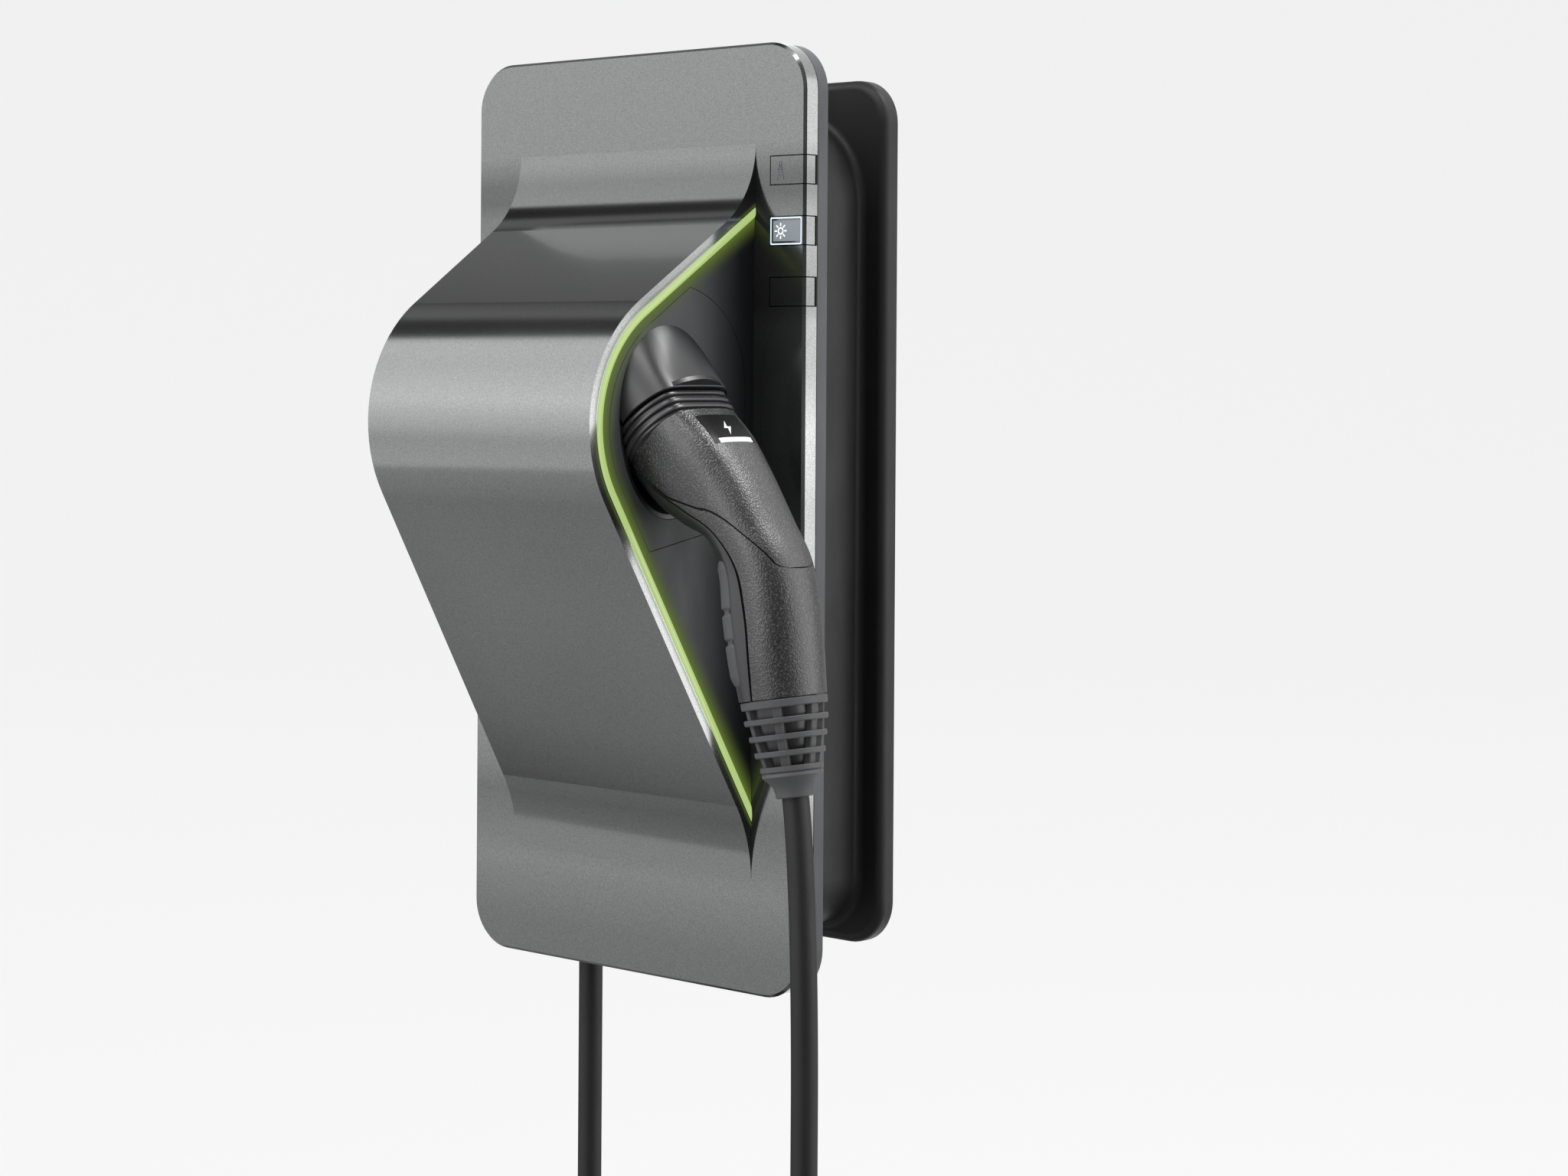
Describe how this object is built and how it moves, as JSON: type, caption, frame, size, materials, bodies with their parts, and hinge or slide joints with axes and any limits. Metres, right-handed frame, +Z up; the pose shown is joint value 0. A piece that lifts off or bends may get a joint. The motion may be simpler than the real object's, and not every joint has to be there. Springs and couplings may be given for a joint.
{
  "type": "ev charging wallbox",
  "caption": "Wall-mounted charger for electric cars with a faceted bulge on a flat cover, edge buttons, a light strip, and a plug docked in its side on a hanging cable.",
  "frame": {"origin": "centre of the rear mounting face, on the wall plane", "axes": "+X right seen from the front, +Y into the wall, +Z up"},
  "size_m": [0.3276, 0.2149, 0.8104],
  "materials": {
    "cover_paint": "metallic grey paint, gloss",
    "rim_plastic": "satin",
    "housing_plastic": "satin black",
    "cheek_plastic": "satin",
    "dock_plastic": "semi-gloss",
    "plug_plastic": "coarse grain",
    "soft_grey": "matt",
    "green_light": "translucent",
    "white_light": "translucent",
    "seal_rubber": "matt",
    "cable_rubber": "matt",
    "board_green": "solder resist",
    "component_dark": "matt",
    "component_pale": "matt",
    "steel": "zinc plated",
    "contact_silver": "silver plated",
    "wire_cover": "satin",
    "badge_black": "gloss"
  },
  "bodies": {
    "housing": {"board_screws": "steel", "board_standoffs": "steel", "button_board": "board_green", "button_switches": "component_dark", "cable_gland": "component_dark", "cable_housing_side": "cable_rubber", "capacitors": "component_dark", "cover_gasket": "seal_rubber", "cover_screws": "steel", "current_sensor": "component_dark", "dock_hood": "dock_plastic", "dock_plate": "cheek_plastic", "dock_socket": "dock_plastic", "energy_meter": "component_pale", "front_cover": "cover_paint", "gland_dome_nut": "component_dark", "gland_lock_nut": "component_dark", "gland_seal": "seal_rubber", "lead_wires": "wire_cover", "left_cheek": "cheek_plastic", "light_board": "board_green", "light_strip": "green_light", "main_board": "board_green", "power_relays": "component_dark", "power_supply": "component_pale", "radio_module": "steel", "rear_housing": "housing_plastic", "right_cheek": "cheek_plastic", "rim_frame": "rim_plastic", "supply_grommet": "seal_rubber", "terminal_block": "component_pale", "terminal_screws": "steel"},
    "plug": {"plug_shell": "plug_plastic", "plug_top_cover": "plug_plastic", "plug_collar": "plug_plastic", "plug_nose": "plug_plastic", "contact_insert": "component_dark", "contact_sleeves": "contact_silver", "grip_pad": "soft_grey", "plug_badge": "badge_black", "badge_light": "white_light", "plug_screws": "steel", "strain_relief": "soft_grey", "strain_sleeve": "seal_rubber", "clamp_nut": "component_dark", "cable_seal": "seal_rubber", "cable_plug_side": "cable_rubber", "plug_wires": "wire_cover"},
    "top_button": {"button_top": "cover_paint"},
    "middle_button": {"button_middle": "cover_paint", "sun_window": "white_light"},
    "bottom_button": {"button_bottom": "cover_paint"}
  },
  "joints": [
    {"name": "plug_release", "type": "slide", "parent": "housing", "child": "plug", "axis": [0.6561, 0, -0.7547], "range_m": [0, 0.06]},
    {"name": "top_button_press", "type": "slide", "parent": "housing", "child": "top_button", "axis": [0, 1, 0], "range_m": [0, 0.0012], "stiffness_N_per_m": 600},
    {"name": "middle_button_press", "type": "slide", "parent": "housing", "child": "middle_button", "axis": [0, 1, 0], "range_m": [0, 0.0012], "stiffness_N_per_m": 600},
    {"name": "bottom_button_press", "type": "slide", "parent": "housing", "child": "bottom_button", "axis": [0, 1, 0], "range_m": [0, 0.0012], "stiffness_N_per_m": 600}
  ]
}
